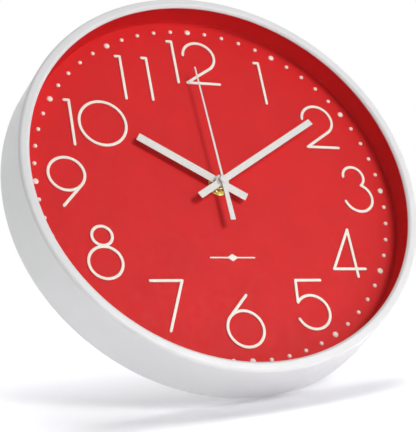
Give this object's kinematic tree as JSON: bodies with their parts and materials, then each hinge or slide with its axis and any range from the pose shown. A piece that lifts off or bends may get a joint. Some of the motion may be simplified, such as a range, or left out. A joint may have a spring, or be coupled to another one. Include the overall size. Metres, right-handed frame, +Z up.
{
  "type": "wall clock",
  "caption": "Round quartz wall clock with a white case, red dial, raised numerals, three hands and a geared battery movement.",
  "frame": {"origin": "point on the wall plane where the wall screw bears on the top of the hanger slot, 41 mm above the hand arbor", "axes": "+Z up towards 12 o'clock, -Y out of the dial towards the reader, +X towards 3 o'clock, wall at y = 0"},
  "size_m": [0.3, 0.04, 0.3],
  "materials": {
    "case_white": "satin moulded white plastic",
    "lens_clear": "clear flat pane",
    "dial_red": "matt moulded red",
    "screw_steel": "zinc plated",
    "numeral_cream": "matt cream",
    "hand_white": "stamped aluminium with off-white paint",
    "gear_white": "natural acetal",
    "magnet_grey": "sintered magnet",
    "movement_black": "fine-textured black plastic",
    "bush_brass": "machined brass",
    "gasket_rubber": "black rubber",
    "hanger_steel": "zinc-plated sheet",
    "core_iron": "bare soft iron",
    "winding_copper": "enamelled copper wire",
    "board_green": "green solder resist",
    "chip_black": "black epoxy",
    "battery_wrap": "plain printed sleeve with no lettering",
    "contact_steel": "nickel-plated spring steel"
  },
  "bodies": {
    "case": {"case_ring": "case_white", "front_lens": "lens_clear", "spacer_ring": "dial_red", "dial_plate": "dial_red", "dial_screw_1": "screw_steel", "dial_screw_2": "screw_steel", "dial_screw_3": "screw_steel", "dial_screw_4": "screw_steel", "dial_screw_5": "screw_steel", "dial_screw_6": "screw_steel", "numeral_1": "numeral_cream", "numeral_2": "numeral_cream", "numeral_3": "numeral_cream", "numeral_4": "numeral_cream", "numeral_5": "numeral_cream", "numeral_6": "numeral_cream", "numeral_7": "numeral_cream", "numeral_8": "numeral_cream", "numeral_9": "numeral_cream", "numeral_10_one": "numeral_cream", "numeral_10_zero": "numeral_cream", "numeral_11_first": "numeral_cream", "numeral_11_second": "numeral_cream", "numeral_12_one": "numeral_cream", "numeral_12_two": "numeral_cream", "dial_ornament": "numeral_cream", "movement_shell": "movement_black", "movement_cover": "movement_black", "train_bridge": "gear_white", "middle_plate": "gear_white", "threaded_bush": "bush_brass", "fixing_nut": "bush_brass", "fixing_washer": "bush_brass", "rubber_gasket": "gasket_rubber", "wall_hanger": "hanger_steel", "stator_plate": "core_iron", "coil_core": "core_iron", "coil_bobbin": "gear_white", "coil_winding": "winding_copper", "circuit_board": "board_green", "quartz_crystal": "screw_steel", "control_chip": "chip_black", "battery_cell": "battery_wrap", "positive_contact": "contact_steel", "negative_spring": "contact_steel"},
    "second_hand": {"second_hand": "hand_white", "second_wheel": "gear_white"},
    "minute_hand": {"minute_hand": "hand_white", "centre_wheel": "gear_white"},
    "hour_hand": {"hour_hand": "hand_white", "hour_wheel": "gear_white"},
    "third_wheel": {"third_wheel": "gear_white"},
    "motion_wheel": {"motion_wheel": "gear_white"},
    "setting_knob": {"setting_knob": "gear_white"},
    "intermediate_wheel": {"intermediate_wheel": "gear_white"},
    "rotor": {"rotor_pinion": "gear_white", "rotor_magnet": "magnet_grey"}
  },
  "joints": [
    {"name": "second_hand_turn", "type": "hinge", "parent": "case", "child": "second_hand", "pos_m": [0, 0, -0.041], "axis": [0, 1, 0], "continuous": true},
    {"name": "minute_hand_turn", "type": "hinge", "parent": "case", "child": "minute_hand", "pos_m": [0, 0, -0.041], "axis": [0, 1, 0], "continuous": true},
    {"name": "hour_hand_turn", "type": "hinge", "parent": "case", "child": "hour_hand", "pos_m": [0, 0, -0.041], "axis": [0, 1, 0], "continuous": true},
    {"name": "third_wheel_turn", "type": "hinge", "parent": "case", "child": "third_wheel", "pos_m": [-0.00765, 0, -0.041], "axis": [0, 1, 0], "continuous": true},
    {"name": "motion_wheel_turn", "type": "hinge", "parent": "case", "child": "motion_wheel", "pos_m": [0.00601, 0, -0.04319], "axis": [0, 1, 0], "continuous": true},
    {"name": "setting_knob_turn", "type": "hinge", "parent": "case", "child": "setting_knob", "pos_m": [0.01232, 0, -0.0443], "axis": [0, 1, 0], "continuous": true},
    {"name": "intermediate_wheel_turn", "type": "hinge", "parent": "case", "child": "intermediate_wheel", "pos_m": [0.00315, 0, -0.03554], "axis": [0, 1, 0], "continuous": true},
    {"name": "rotor_turn", "type": "hinge", "parent": "case", "child": "rotor", "pos_m": [0.00585, 0, -0.03087], "axis": [0, 1, 0], "continuous": true}
  ],
  "couplings": [
    {"joint": "minute_hand_turn", "follows": "second_hand_turn", "ratio": 0.016667},
    {"joint": "hour_hand_turn", "follows": "second_hand_turn", "ratio": 0.0013889},
    {"joint": "third_wheel_turn", "follows": "second_hand_turn", "ratio": -0.13333},
    {"joint": "motion_wheel_turn", "follows": "second_hand_turn", "ratio": -0.0055556},
    {"joint": "setting_knob_turn", "follows": "second_hand_turn", "ratio": 0.016667},
    {"joint": "intermediate_wheel_turn", "follows": "second_hand_turn", "ratio": -6},
    {"joint": "rotor_turn", "follows": "second_hand_turn", "ratio": 30}
  ]
}
